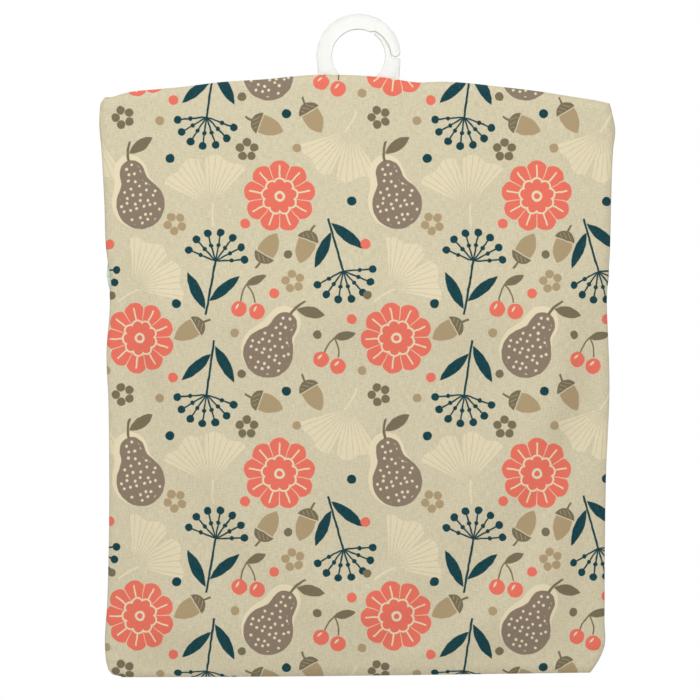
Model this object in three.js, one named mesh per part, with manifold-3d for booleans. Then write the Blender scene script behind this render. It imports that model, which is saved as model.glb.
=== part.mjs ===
// A cloth peg bag on a moulded plastic hanger.
//
// Two layers of printed cotton are sewn together round the sides, foot and shoulders. The back is one
// panel. The front is a yoke over a pocket, with a mouth between them whose two lips are bound with tape.
// A flat hanger lies inside along the shoulders. Its ring hook stands up through a gap in the shoulder
// seam and shuts with a springy tongue.
//
// Millimetres, +Z up. The origin is the place inside the top of the ring where it hangs on a line. The
// back panel faces -Y, and the mouth faces +Y.

import * as THREE from "three";
import { mergeVertices } from "three/addons/utils/BufferGeometryUtils.js";
import Module from "manifold-3d";

const wasm = await Module();
wasm.setup();

// Bag outline
const BAG_WIDTH = 300; // across the shoulders
const BODY_WIDTH = 291; // across the body, below the hanger
const BAG_HEIGHT = 350; // from the top edge at the hook to the foot
const SHOULDER_DROP = 15; // fall of the top edge from the hook to the shoulders
const SHOULDER_BEND = 1.6; // how the fall gathers towards the shoulders, 1 is straight
const SHOULDER_CORNER = 8; // radius of the shoulder corners
const WAIST_DROP = 130; // from the shoulders down to where the body width is reached
const FOOT_CUT_ACROSS = 9; // blunt foot corners, across
const FOOT_CUT_UP = 13; // blunt foot corners, up the side

// Cloth and fullness
const CLOTH = 0.6; // thickness of the printed cotton
const SEAM_GAP = 0.3; // between the two layers where they are sewn
const EDGE_DEPTH = 4.5; // inside half depth just within the seams
const EDGE_ROUND = 5; // how far in from a seam the cloth has turned
const BELLY_DEPTH = 13.5; // inside half depth where the bag is fullest

// Mouth and the tape that binds its lips
const MOUTH_DROP = 119; // from the top edge at the hook to the ends of the mouth
const MOUTH_END_GAP = 3; // between the lips where they run into the side seams
const YOKE_ARCH = 9; // rise of the upper lip at the middle
const POCKET_SCOOP = 40; // fall of the lower lip at the middle
const TAPE = 0.7; // thickness of the folded tape
const TAPE_WIDTH = 8; // of each leg of the folded tape
const TAPE_GAP = 0.3; // between tape and cloth
const TAPE_END = 7; // the tape stops this far from the side seam

// Seam turnings inside the bag, and the rows of stitches on the tapes
const TURNING_WIDTH = 4.5;
const TURNING_THICK = 0.8; // two cloth edges pressed flat and overlocked
const TURNING_SETBACK = 1.2; // from the seam to the turning
const TURNING_GAP = 0.3; // between a turning and the back panel
const TURNING_END = 3; // the turnings stop this far from the corners
const STITCH_INSET = 1.6; // from the tape's raw edge to its row of stitches
const THREAD = 0.5; // width and height of the row of stitches
const THREAD_GAP = 0.1; // between the stitches and the tape

// Hanger
const HOOK_GAP = 62; // length of shoulder seam left open for the hook
const HOOK_GAP_END = 8; // over which the open seam closes again
const HOOK_RISE = 26.6; // from the bag's top edge to the inside top of the ring
const RING_BORE = 31; // inside diameter of the ring
const RING_WIDTH = 9; // of the ring's bar
const HANGER_THICK = 4;
const HANGER_ROUND = 0.8; // rounding along the moulding's edges
const ARM_SEAT = 0.7; // from the cloth's inside ridge to the top of the arms
const ARM_ROOT_DEPTH = 15;
const ARM_END_DEPTH = 9;
const ARM_END_GAP = 9; // from the bag's shoulder to the end of the arm
const WEB_RIM = 2.4; // width of the rim left round the arms' recesses
const WEB_THICK = 1.8; // web between the recesses on the two faces
const WEB_START = 34; // recesses run from here
const WEB_END_GAP = 12; // to this far from the arm's end

// Hook closure
const TONGUE_ROOT = 3.7; // width of the springy tongue where it bends
const TONGUE_TIP = 1.2; // width of its free end
const TONGUE_THICK = 3.4;
const TONGUE_GAP = 0.4; // between the tongue and the hook's tip
const TONGUE_END_GAP = 1.4; // beyond the tongue's free end, for its swing
const KNUCKLE_GAP = 0.3; // round the tongue's root
const ENTRANCE = 5; // between the hook's tip and the stub, for the line
const TIP_ANGLE = 6; // degrees above level where the hook's tip begins to round off
const LAP_ANGLE = 48; // degrees of overlap between tongue and tip
const RELIEF_ANGLE = 12; // degrees cleared under the tongue's root for its swing

// Places worked out from those
const RING_R = RING_BORE / 2;
const RING_OUT = RING_R + RING_WIDTH;
const RING_Z = -RING_R;
const TOP_Z = -HOOK_RISE;
const FOOT_Z = TOP_Z - BAG_HEIGHT;
const SHOULDER_Z = TOP_Z - SHOULDER_DROP;
const MOUTH_Z = TOP_Z - MOUTH_DROP;
const TOP_HALF = BAG_WIDTH / 2 - SHOULDER_CORNER;
const ARM_REACH = BAG_WIDTH / 2 - ARM_END_GAP;

const clamp01 = (t) => Math.min(1, Math.max(0, t));
const mix = (a, b, t) => a + (b - a) * t;
const ease = (t) => clamp01(t) ** 2 * (3 - 2 * clamp01(t));
const degrees = (d) => (d * Math.PI) / 180;

// Outline of the bag. u runs from -1 at the left side seam to 1 at the right one.
const topEdge = (x) => TOP_Z - SHOULDER_DROP * Math.abs(x / TOP_HALF) ** SHOULDER_BEND;
const topAt = (u) => topEdge(u * TOP_HALF);
const lipBow = (u) => 1 - u * u;
const pocketLip = (u) => MOUTH_Z - POCKET_SCOOP * lipBow(u);
const yokeLip = (u) => MOUTH_Z + MOUTH_END_GAP + YOKE_ARCH * lipBow(u);

function halfWidth(z) {
  const body = mix(BODY_WIDTH, BAG_WIDTH, ease(1 - (SHOULDER_Z - z) / WAIST_DROP)) / 2;
  const below = Math.max(0, SHOULDER_Z - z);
  const turn = Math.max(0, SHOULDER_CORNER - below);
  const shoulder = SHOULDER_CORNER - Math.sqrt(SHOULDER_CORNER ** 2 - turn ** 2);
  const foot = FOOT_CUT_ACROSS * clamp01(1 - (z - FOOT_Z) / FOOT_CUT_UP);
  return body - shoulder - foot;
}

// A quarter-ellipse turn of the cloth near a seam, from 0 on the seam to 1 once it has turned.
const turned = (d) => Math.sqrt(1 - (1 - clamp01(d / EDGE_ROUND)) ** 2);

// Half depth of the bag's inside at (u, z), for an outline drawn in by inset all round.
function insideDepth(u, z, inset) {
  const up = clamp01((z - FOOT_Z) / (topAt(u) - FOOT_Z));
  const fullest = Math.sqrt(1 / 3) * (2 / 3);
  const belly = (1 - u * u) * (Math.sqrt(up) * (1 - up)) / fullest;
  const depth = mix(EDGE_DEPTH, BELLY_DEPTH, belly);
  const open = 1 - ease((Math.abs(u * TOP_HALF) - HOOK_GAP / 2) / HOOK_GAP_END);
  const atTop = mix(turned(topAt(u) - inset - z), 1, open);
  const atSide = turned((1 - Math.abs(u)) * (halfWidth(z) - inset));
  const atFoot = turned(z - FOOT_Z - inset);
  return SEAM_GAP / 2 + depth * atTop * atSide * atFoot;
}

// A place on the cloth: u across, z up, n out from the inside face, on the front (1) or the back (-1).
function onCloth(side, u, z, n, inset = CLOTH) {
  const x = u * (halfWidth(z) - inset);
  return new THREE.Vector3(x, side * (insideDepth(u, z, inset) + n), z);
}

// Closed geometry from points and triangles, turned to face outwards.
function closedGeometry(points, faces) {
  let volume = 0;
  const across = new THREE.Vector3();
  for (const [a, b, c] of faces) volume += points[a].dot(across.crossVectors(points[b], points[c]));
  const index = faces.flatMap(([a, b, c]) => (volume > 0 ? [a, b, c] : [a, c, b]));
  const geometry = new THREE.BufferGeometry().setFromPoints(points);
  geometry.setIndex(index);
  return geometry;
}

const quad = (a, b, c, d) => [[a, b, c], [a, c, d]];
const evenly = (from, to, steps) => Array.from({ length: steps + 1 }, (_, k) => mix(from, to, k / steps));

// Places from one edge to the other, in even steps between the close ones near each edge.
function spread(low, high, steps, nearLow, nearHigh) {
  return [
    ...nearLow.slice(0, -1).map((d) => low + d),
    ...evenly(low + nearLow.at(-1), high - nearHigh.at(-1), steps),
    ...nearHigh.slice(0, -1).reverse().map((d) => high - d),
  ];
}

// Edges of the cut pieces: their height at u, and how far in the closer places lie that follow the turn
// of the cloth at a seam and the corners of the outline. A lip is a free edge and needs none.
const turnSteps = evenly(0, Math.PI / 2, 3).map((a) => EDGE_ROUND * (1 - Math.cos(a)));
const withCorner = (corner) => [...turnSteps, corner].sort((a, b) => a - b);
const foot = { at: () => FOOT_Z, near: withCorner(FOOT_CUT_UP) };
const shoulders = { at: topAt, near: withCorner(SHOULDER_CORNER) };
const upperLip = { at: yokeLip, near: [0] };
const lowerLip = { at: pocketLip, near: [0] };

// One cut piece of cloth between two of those edges, as a shell of the cloth's thickness.
const PANEL_STEPS = 14;
function clothPanel(side, low, high, steps) {
  const points = [];
  const faces = [];
  const reach = BODY_WIDTH / 2;
  const across = spread(-reach, reach, PANEL_STEPS, turnSteps, turnSteps).map((x) => x / reach);
  const upTo = (u, inset) => spread(low.at(u) + inset, high.at(u) - inset, steps, low.near, high.near);
  const columns = across.length - 1;
  const rows = upTo(0, 0).length - 1;
  const grid = (inset, out) => {
    const first = points.length;
    for (const u of across) for (const z of upTo(u, inset)) points.push(onCloth(side, u, z, out, inset));
    return (i, j) => first + i * (rows + 1) + j;
  };
  const outer = grid(0, CLOTH);
  const inner = grid(CLOTH, 0);
  for (let i = 0; i < columns; i++)
    for (let j = 0; j < rows; j++) {
      faces.push(...quad(outer(i, j), outer(i, j + 1), outer(i + 1, j + 1), outer(i + 1, j)));
      faces.push(...quad(inner(i, j), inner(i + 1, j), inner(i + 1, j + 1), inner(i, j + 1)));
    }
  // The cut edge: straight back through the cloth, then in to the inside face.
  const loop = [];
  for (let i = 0; i < columns; i++) loop.push([i, 0]);
  for (let j = 0; j < rows; j++) loop.push([columns, j]);
  for (let i = columns; i > 0; i--) loop.push([i, rows]);
  for (let j = rows; j > 0; j--) loop.push([0, j]);
  const rim = loop.map(([i, j]) => {
    const edge = points[outer(i, j)].clone();
    edge.y -= side * CLOTH;
    return points.push(edge) - 1;
  });
  loop.forEach(([i, j], k) => {
    const next = (k + 1) % loop.length;
    const [i2, j2] = loop[next];
    faces.push(...quad(outer(i, j), outer(i2, j2), rim[next], rim[k]));
    faces.push(...quad(rim[k], rim[next], inner(i2, j2), inner(i, j)));
  });
  return closedGeometry(points, faces);
}

// A strip with the same flat outline all along: place puts a point of the outline at a step of the path.
function sweptStrip(outline, path, place) {
  const profile = THREE.ShapeUtils.isClockWise(outline) ? [...outline].reverse() : outline;
  const points = path.flatMap((t) => profile.map((p) => place(p, t)));
  const faces = [];
  const size = profile.length;
  const last = points.length - size;
  for (let s = 0; s < last; s += size)
    for (let k = 0; k < size; k++) {
      const next = (k + 1) % size;
      faces.push(...quad(s + k, s + next, s + size + next, s + size + k));
    }
  for (const [a, b, c] of THREE.ShapeUtils.triangulateShape(profile, []))
    faces.push([c, b, a], [last + a, last + b, last + c]);
  return closedGeometry(points, faces);
}

const outlineOf = (pairs) => pairs.map(([a, b]) => new THREE.Vector2(a, b));
const rectangle = (a0, a1, b0, b1) => outlineOf([[a0, b0], [a1, b0], [a1, b1], [a0, b1]]);

// Binding tape folded over a lip. The cloth lies on the up side (1) or the down side (-1) of the lip.
const tapeReach = 1 - TAPE_END / (BODY_WIDTH / 2);
function lipStrip(outline, lip, up) {
  const place = (p, u) => onCloth(1, u, lip(u) + up * p.x, p.y);
  return sweptStrip(outline, evenly(-tapeReach, tapeReach, 22), place);
}

function bindingTape(lip, up) {
  const outside = CLOTH + TAPE_GAP;
  const inside = -TAPE_GAP;
  const fold = -TAPE_GAP;
  const outline = outlineOf([
    [TAPE_WIDTH, outside + TAPE],
    [fold - TAPE / 2, outside + TAPE],
    [fold - TAPE, outside],
    [fold - TAPE, inside],
    [fold - TAPE / 2, inside - TAPE],
    [TAPE_WIDTH, inside - TAPE],
    [TAPE_WIDTH, inside],
    [fold, inside],
    [fold, outside],
    [TAPE_WIDTH, outside],
  ]);
  return lipStrip(outline, lip, up);
}

function tapeStitches(lip, up) {
  const row = TAPE_WIDTH - STITCH_INSET;
  const face = CLOTH + TAPE_GAP + TAPE + THREAD_GAP;
  return lipStrip(rectangle(row - THREAD / 2, row + THREAD / 2, face, face + THREAD), lip, up);
}

// Overlocked seam turnings, pressed flat against the inside of the back panel.
const turning = rectangle(
  TURNING_SETBACK,
  TURNING_SETBACK + TURNING_WIDTH,
  -TURNING_GAP - TURNING_THICK,
  -TURNING_GAP,
);

function sideTurning(hand) {
  const low = FOOT_Z + FOOT_CUT_UP + TURNING_END;
  const high = SHOULDER_Z - SHOULDER_CORNER - TURNING_END;
  const place = (p, z) => onCloth(-1, hand * (1 - p.x / (halfWidth(z) - CLOTH)), z, p.y);
  return sweptStrip(turning, evenly(low, high, 14), place);
}

function footTurning() {
  const reach = 1 - (FOOT_CUT_ACROSS + TURNING_END) / (BODY_WIDTH / 2);
  const place = (p, u) => onCloth(-1, u, FOOT_Z + CLOTH + p.x, p.y);
  return sweptStrip(turning, evenly(-reach, reach, 12), place);
}

function shoulderTurning(hand) {
  const start = (HOOK_GAP / 2 + HOOK_GAP_END) / TOP_HALF;
  const end = 1 - (SHOULDER_CORNER + TURNING_END) / TOP_HALF;
  const place = (p, u) => onCloth(-1, u, topAt(u) - CLOTH - TURNING_SETBACK - p.x, p.y);
  return sweptStrip(turning, evenly(hand * start, hand * end, 8), place);
}

// Solids for joining and cutting
function toSolid(geometry) {
  const bare = geometry.index ? geometry.toNonIndexed() : geometry.clone();
  bare.deleteAttribute("normal");
  bare.deleteAttribute("uv");
  const merged = mergeVertices(bare, 1e-4);
  return new wasm.Manifold(
    new wasm.Mesh({
      numProp: 3,
      vertProperties: new Float32Array(merged.attributes.position.array),
      triVerts: new Uint32Array(merged.index.array),
    }),
  );
}

function toGeometry(solid) {
  const mesh = solid.getMesh();
  const geometry = new THREE.BufferGeometry();
  geometry.setAttribute("position", new THREE.BufferAttribute(mesh.vertProperties, 3));
  geometry.setIndex(new THREE.BufferAttribute(mesh.triVerts, 1));
  return geometry;
}

// A flat moulding drawn in the X-Z plane and centred on Y = 0, with its edges rounded by round.
function flatSolid(shape, thick, round = 0, curveSegments = 16) {
  const geometry = new THREE.ExtrudeGeometry(shape, {
    depth: thick - 2 * round,
    bevelEnabled: round > 0,
    bevelThickness: round,
    bevelSize: round,
    bevelOffset: -round,
    bevelSegments: 2,
    curveSegments,
  });
  geometry.translate(0, 0, round - thick / 2);
  geometry.rotateX(Math.PI / 2);
  return toSolid(geometry);
}

const polygon = (points) => new THREE.Shape(points.map(([x, z]) => new THREE.Vector2(x, z)));
const onRing = (r, angle) => [r * Math.cos(angle), RING_Z + r * Math.sin(angle)];

function disc(r, [x, z]) {
  const shape = new THREE.Shape();
  shape.absarc(x, z, r, 0, 2 * Math.PI);
  return shape;
}

// Angles and radii of the hook's closure, measured at the ring's centre from level on the right.
const tongueOut = RING_R + TONGUE_ROOT;
const tipWidth = RING_OUT - tongueOut - TONGUE_GAP;
const tipMid = RING_OUT - tipWidth / 2;
const tipStart = degrees(TIP_ANGLE);
const tipDrop = tipWidth / 2 - tipMid * Math.sin(tipStart);
const rootAngle = -Math.asin((tipDrop + ENTRANCE) / tipMid);
const lapEnd = tipStart + degrees(LAP_ANGLE);
const knuckle = onRing(RING_R + TONGUE_ROOT / 2, rootAngle);
const alongTongue = (angle) => (angle - rootAngle) / (lapEnd - rootAngle);
const tongueEdge = (angle) => RING_R + mix(TONGUE_ROOT, TONGUE_TIP, alongTongue(angle));

// The band of the ring that the tongue takes up, between an inner radius and its own tapering outer edge.
function tongueBand(innerR, gap, endAngle) {
  const angles = evenly(rootAngle, endAngle, 14);
  const inside = angles.map((a) => onRing(innerR, a));
  const outside = angles.map((a) => onRing(tongueEdge(a) + gap, a)).reverse();
  return polygon([...inside, ...outside]);
}

function sector(r0, r1, from, to) {
  const angles = evenly(from, to, 6);
  return polygon([...angles.map((a) => onRing(r0, a)), ...angles.map((a) => onRing(r1, a)).reverse()]);
}

// Arms: their top follows the cloth's inside ridge, and each end is a half round.
const armTop = (x) => topEdge(x) - CLOTH - ARM_SEAT;
const armDepth = (x) => mix(ARM_ROOT_DEPTH, ARM_END_DEPTH, ease(Math.abs(x) / ARM_REACH));

function armsShape() {
  const straight = ARM_REACH - ARM_END_DEPTH / 2;
  const stations = evenly(-straight, straight, 28);
  const endR = armDepth(straight) / 2;
  const endZ = armTop(straight) - endR;
  const bend = evenly(0, Math.PI, 8).slice(1, -1);
  const halfRound = (hand) =>
    bend.map((a) => [hand * (straight + endR * Math.sin(a)), endZ + hand * endR * Math.cos(a)]);
  const top = stations.map((x) => [x, armTop(x)]);
  const under = stations.map((x) => [x, armTop(x) - armDepth(x)]).reverse();
  return polygon([...top, ...halfRound(1), ...under, ...halfRound(-1)]);
}

function armRecess(hand) {
  const stations = evenly(WEB_START, ARM_REACH - WEB_END_GAP, 8);
  const top = stations.map((x) => [hand * x, armTop(x) - WEB_RIM]);
  const under = stations.map((x) => [hand * x, armTop(x) - armDepth(x) + WEB_RIM]).reverse();
  return polygon([...top, ...under]);
}

function hangerFrame() {
  const cutThick = HANGER_THICK + 2;
  const ring = disc(RING_OUT, [0, RING_Z]);
  ring.holes.push(new THREE.Path().absarc(0, RING_Z, RING_R, 0, 2 * Math.PI, true));
  const bore = flatSolid(disc(RING_R, [0, RING_Z]), cutThick, 0, 28);
  let frame = flatSolid(armsShape(), HANGER_THICK, HANGER_ROUND).subtract(bore);
  frame = frame.add(flatSolid(ring, HANGER_THICK, HANGER_ROUND, 28));
  const recessDepth = (HANGER_THICK - WEB_THICK) / 2;
  for (const hand of [-1, 1]) {
    const recess = toGeometry(flatSolid(armRecess(hand), recessDepth + 1));
    for (const face of [-1, 1]) {
      const offset = face * (WEB_THICK / 2 + (recessDepth + 1) / 2);
      frame = frame.subtract(toSolid(recess.clone().translate(0, offset, 0)));
    }
  }
  const clear = RING_OUT + 1;
  const socketR = TONGUE_ROOT / 2 + KNUCKLE_GAP;
  const endGap = TONGUE_END_GAP / (RING_R + TONGUE_TIP);
  const cuts = [
    tongueBand(RING_R - 1, TONGUE_GAP, lapEnd + endGap),
    sector(RING_R - 1, clear, rootAngle, tipStart),
    sector(RING_R - 1, RING_R + TONGUE_ROOT / 2, rootAngle - degrees(RELIEF_ANGLE), rootAngle),
    disc(socketR, knuckle),
  ];
  for (const cut of cuts) frame = frame.subtract(flatSolid(cut, cutThick));
  const tip = flatSolid(disc(tipWidth / 2, onRing(tipMid, tipStart)), HANGER_THICK, HANGER_ROUND);
  return toGeometry(frame.add(tip));
}

function hookTongue() {
  const band = flatSolid(tongueBand(RING_R, 0, lapEnd), TONGUE_THICK);
  return toGeometry(band.add(flatSolid(disc(TONGUE_ROOT / 2, knuckle), TONGUE_THICK)));
}

// Finishes
const finish = (color, roughness) => new THREE.MeshStandardMaterial({ color, roughness, metalness: 0 });
const printedCotton = finish(0xd0c6a9, 0.9);
const mintTape = finish(0xc9ddd0, 0.85);
const thread = finish(0xd9dccb, 0.8);
const overlock = finish(0xe2dccb, 0.9);
const clearPlastic = finish(0xf2f3ee, 0.25);

// Assembly
const bag = new THREE.Group();
const hanger = new THREE.Group();
const pegBag = new THREE.Group();
pegBag.add(hanger, bag);

function place(group, name, geometry, material) {
  const mesh = new THREE.Mesh(geometry, material);
  mesh.name = name;
  group.add(mesh);
}

place(hanger, "hanger_frame", hangerFrame(), clearPlastic);
place(hanger, "hook_tongue", hookTongue(), clearPlastic);
place(bag, "back_panel", clothPanel(-1, foot, shoulders, 14), printedCotton);
place(bag, "front_yoke", clothPanel(1, upperLip, shoulders, 6), printedCotton);
place(bag, "front_pocket", clothPanel(1, foot, lowerLip, 10), printedCotton);
place(bag, "yoke_binding", bindingTape(yokeLip, 1), mintTape);
place(bag, "pocket_binding", bindingTape(pocketLip, -1), mintTape);
place(bag, "yoke_stitching", tapeStitches(yokeLip, 1), thread);
place(bag, "pocket_stitching", tapeStitches(pocketLip, -1), thread);
place(bag, "left_side_turning", sideTurning(-1), overlock);
place(bag, "right_side_turning", sideTurning(1), overlock);
place(bag, "left_shoulder_turning", shoulderTurning(-1), overlock);
place(bag, "right_shoulder_turning", shoulderTurning(1), overlock);
place(bag, "foot_turning", footTurning(), overlock);

export default pegBag;
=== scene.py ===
# A peg bag: printed cotton sewn into a flat bag round a moulded plastic hanger, with a bound mouth in the
# side away from the camera. Sizes are in millimetres, and MM turns them into Blender's metres. +Z is up.
import math

import bpy
import numpy as np
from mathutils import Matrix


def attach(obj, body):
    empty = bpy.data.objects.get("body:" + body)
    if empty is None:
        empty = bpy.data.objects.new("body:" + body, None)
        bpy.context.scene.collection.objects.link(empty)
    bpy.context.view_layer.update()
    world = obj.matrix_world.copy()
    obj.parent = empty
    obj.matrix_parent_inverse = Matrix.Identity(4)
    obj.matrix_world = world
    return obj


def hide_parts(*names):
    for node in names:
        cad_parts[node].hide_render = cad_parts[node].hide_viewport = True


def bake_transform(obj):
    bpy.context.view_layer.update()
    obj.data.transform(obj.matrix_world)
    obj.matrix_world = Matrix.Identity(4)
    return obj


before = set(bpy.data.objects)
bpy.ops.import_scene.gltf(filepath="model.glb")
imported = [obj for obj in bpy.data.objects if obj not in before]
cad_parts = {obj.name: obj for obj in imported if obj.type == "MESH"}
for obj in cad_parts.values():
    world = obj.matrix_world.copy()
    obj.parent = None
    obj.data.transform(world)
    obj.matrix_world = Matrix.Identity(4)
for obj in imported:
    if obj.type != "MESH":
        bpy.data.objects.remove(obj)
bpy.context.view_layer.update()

MM = 0.001

# The room is a white studio with a pale floor well below the hanging bag. Soft light comes from all round,
# with one broad lamp before the bag and one behind it. The camera looks level at the back panel, through a
# long lens.
PICTURE_WIDTH = 408.6  # of the bag's own plane that the picture spans
VIEW_ACROSS = -5.0
VIEW_UP = -187.1
CAMERA_AWAY = 1600
SENSOR = 36
ROOM_LIGHT = 0.42
LAMP_WATTS = 15
LAMP_SIZE = 1000
LAMP_PLACES = [(-120, -1250, 600), (120, 1250, 600)]
FLOOR_DROP = 1250
FLOOR_SIZE = 12000
FLOOR_GLOW = 0.45  # added where the camera sees the floor


class Wire:
    """A socket of a node tree. Sums and products of wires and numbers add Math nodes to the tree."""

    def __init__(self, tree, socket=None):
        self.tree = tree
        self.socket = socket

    def node(self, kind, settings=None, sockets=None, output=0):
        """A new node of the same tree, with its settings made first and then its sockets filled."""
        made = self.tree.nodes.new("ShaderNode" + kind)
        for name, value in (settings or {}).items():
            setattr(made, name, value)
        for key, value in (sockets or {}).items():
            self.feed(made, key, value)
        return Wire(self.tree, made.outputs[output])

    def feed(self, node, key, value):
        """Sets one socket of a node to a number or a colour, or links a wire to it."""
        if isinstance(value, Wire):
            self.tree.links.new(value.socket, node.inputs[key])
        else:
            node.inputs[key].default_value = value

    def math(self, operation, *others, clamp=False):
        settings = {"operation": operation, "use_clamp": clamp}
        return self.node("Math", settings, dict(enumerate((self, *others))))

    def vector(self, operation, *others):
        output = "Value" if operation in ("LENGTH", "DISTANCE") else "Vector"
        sockets = dict(enumerate((self, *others)))
        return self.node("VectorMath", {"operation": operation}, sockets, output)

    def mix(self, factor, low, high, kind="RGBA"):
        """low where factor is 0 and high where it is 1, of two colours or of two vectors."""
        first, output = {"RGBA": (6, 2), "VECTOR": (4, 1)}[kind]
        return self.node("Mix", {"data_type": kind}, {0: factor, first: low, first + 1: high}, output)

    def parts(self):
        """The first two parts of a vector."""
        return [self.node("SeparateXYZ", sockets={0: self}, output=k) for k in ("X", "Y")]

    def noise(self, scale, detail, settings=None, output="Fac"):
        """Noise over the places that this wire carries."""
        sockets = {"Vector": self, "Scale": scale, "Detail": detail}
        return self.node("TexNoise", settings, sockets, output)

    def __add__(self, other):
        return self.math("ADD", other)

    def __sub__(self, other):
        return self.math("SUBTRACT", other)

    def __rsub__(self, other):
        return self.math("MULTIPLY_ADD", -1.0, other)

    def __mul__(self, other):
        return self.math("MULTIPLY", other)

    def __abs__(self):
        return self.math("ABSOLUTE")

    def __lt__(self, other):
        return self.math("LESS_THAN", other)

    __radd__ = __add__
    __rmul__ = __mul__

    def least(self, other):
        return self.math("MINIMUM", other)

    def most(self, other):
        return self.math("MAXIMUM", other)


def paint(red, green, blue):
    """A colour as it looks on a screen, 0 to 255, in the linear values that a shader takes."""
    shown = [level / 255 for level in (red, green, blue)]
    linear = [s / 12.92 if s <= 0.04045 else ((s + 0.055) / 1.055) ** 2.4 for s in shown]
    return (*linear, 1.0)


def new_material(name, **constants):
    """A material, the wire that starts its tree, and its shader with the constant sockets set."""
    material = bpy.data.materials.new(name)
    material.use_nodes = True
    shader = material.node_tree.nodes["Principled BSDF"]
    for key, value in constants.items():
        shader.inputs[key.replace("_", " ")].default_value = value
    return material, Wire(material.node_tree), shader


def new_piece(name, points, faces, *materials):
    """An object from points in millimetres and lists of corners."""
    mesh = bpy.data.meshes.new(name)
    mesh.from_pydata((np.asarray(points) * MM).tolist(), [], [list(face) for face in faces])
    mesh.update()
    for material in materials:
        mesh.materials.append(material)
    piece = bpy.data.objects.new(name, mesh)
    bpy.context.scene.collection.objects.link(piece)
    return piece


bpy.context.scene.view_settings.view_transform = "Standard"

camera_data = bpy.data.cameras.new("camera")
camera_data.sensor_width = SENSOR
camera_data.lens = SENSOR * CAMERA_AWAY / PICTURE_WIDTH
camera = bpy.data.objects.new("camera", camera_data)
camera.location = (VIEW_ACROSS * MM, -CAMERA_AWAY * MM, VIEW_UP * MM)
camera.rotation_euler = (math.pi / 2, 0, 0)
bpy.context.scene.collection.objects.link(camera)
bpy.context.scene.camera = camera

world = bpy.data.worlds.new("white_room")
world.use_nodes = True
bpy.context.scene.world = world
sky = Wire(world.node_tree)
rays = [sky.node("LightPath", output="Is %s Ray" % kind) for kind in ("Camera", "Glossy", "Transmission")]
seen = rays[0].most(rays[1]).most(rays[2])
background = world.node_tree.nodes["Background"]
background.inputs["Color"].default_value = (1, 1, 1, 1)
sky.feed(background, "Strength", ROOM_LIGHT + (1 - ROOM_LIGHT) * seen)

for place in LAMP_PLACES:
    lamp_data = bpy.data.lights.new("broad_lamp", "AREA")
    lamp_data.energy = LAMP_WATTS
    lamp_data.size = LAMP_SIZE * MM
    lamp = bpy.data.objects.new("broad_lamp", lamp_data)
    lamp.location = [distance * MM for distance in place]
    aim = camera.location.copy()
    aim.y = 0
    lamp.rotation_euler = (aim - lamp.location).to_track_quat("-Z", "Y").to_euler()
    bpy.context.scene.collection.objects.link(lamp)

FLOOR_COLOUR = paint(246, 246, 244)
floor_material, floor_tree, floor_shader = new_material(
    "pale_floor", Roughness=0.9, Base_Color=FLOOR_COLOUR, Emission_Strength=FLOOR_GLOW)
floor_tree.feed(floor_shader, "Emission Color", floor_tree.node("LightPath", output="Is Camera Ray"))
half_floor = FLOOR_SIZE / 2
corner_signs = ((-1, -1), (1, -1), (1, 1), (-1, 1))
floor_corners = [(x * half_floor, y * half_floor, -FLOOR_DROP) for x, y in corner_signs]
floor = new_piece("floor", floor_corners, [(0, 1, 2, 3)], floor_material)

# The hanger is one flat moulding in frosted clear plastic: a ring hook over two tapering arms that lie
# inside the shoulders. The hook shuts with a thin tongue of the same moulding, which bends in to let a
# line past the hook's tip and springs back behind it.
RING_R = 15.5  # bore
RING_OUT = 24.5
RING_Z = -15.5
TOP_Z = -26.6  # the bag's top edge at the hook
SHOULDER_DROP = 15
SHOULDER_BEND = 1.6
TOP_HALF = 142
ARM_SEAT = 3.8  # from the bag's top edge down to the arms
ARM_REACH = 141
ARM_ROOT_DEPTH = 15
ARM_END_DEPTH = 9
ARM_TOP_POINTS = 24
ARM_UNDER_POINTS = 60
HANGER_THICK = 4
HANGER_ROUND = 0.6  # along the edges of its faces
HANGER_CORNER = 0.8  # at the sharp corners of its outline
RECESS_RIM = 2.4
RECESS_WEB = 1.8
RECESS_START = 34
RECESS_END = 129
RECESS_ROUND = 0.3
RECESS_CORNER = 1.5
RECESS_POINTS = 16
TONGUE_ROOT = 3.7
TONGUE_TIP = 1.7
TONGUE_GAP = 0.12
TONGUE_SWING_GAP = 1.2  # beyond the tongue's end
STEP_SLOPE = 5.5  # degrees over which the ring regains its full width beyond that gap
ROOT_ANGLE = -3.5  # of the tongue's root, from level on the right
BEND_ANGLE = 22  # that much of the tongue bends, from its root on
LAP_END = 53
TONGUE_END = 5  # degrees past LAP_END that hold the tongue's round end
TIP_ANGLE = 6
JUNCTION_ANGLE = 11  # below level, where the ring runs out into the arms
JUNCTION_HALF = 23.6
PLASTIC = paint(248, 249, 244)
PLASTIC_SHADE = paint(241, 242, 237)
PLASTIC_EDGE_SHADE = paint(226, 227, 224)  # painted shade along the rounded edges, for the darker look that refraction gives them
RIM_SHADE_WIDTH = 3.2  # width of a strip of painted shade along the ring's outer edge
RIM_SHADE_SHARE = 0.5
PLASTIC_ROUGHNESS = (0.3, 0.5)


def mix(low, high, t):
    return low + (high - low) * t


def ease(t):
    t = np.clip(t, 0, 1)
    return t * t * (3 - 2 * t)


def on_ring(radius, angle):
    return (radius * math.cos(math.radians(angle)), RING_Z + radius * math.sin(math.radians(angle)))


def round_ring(radius, start, end, step=3):
    """Points round the ring's centre. The radius may be a function of the angle."""
    count = max(2, math.ceil(abs(end - start) / step))
    angles = np.linspace(start, end, count + 1)
    return [on_ring(radius(a) if callable(radius) else radius, a) for a in angles]


def half_round(start, end, steps=10):
    """The points of a half circle from one point to another, bulging to the right of the way between."""
    start, end = np.array(start), np.array(end)
    middle, reach = (start + end) / 2, (start - end) / 2
    out = np.array([reach[1], -reach[0]])
    angles = np.linspace(0, math.pi, steps + 1)[1:-1]
    return [tuple(middle + reach * math.cos(a) - out * math.sin(a)) for a in angles]


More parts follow.
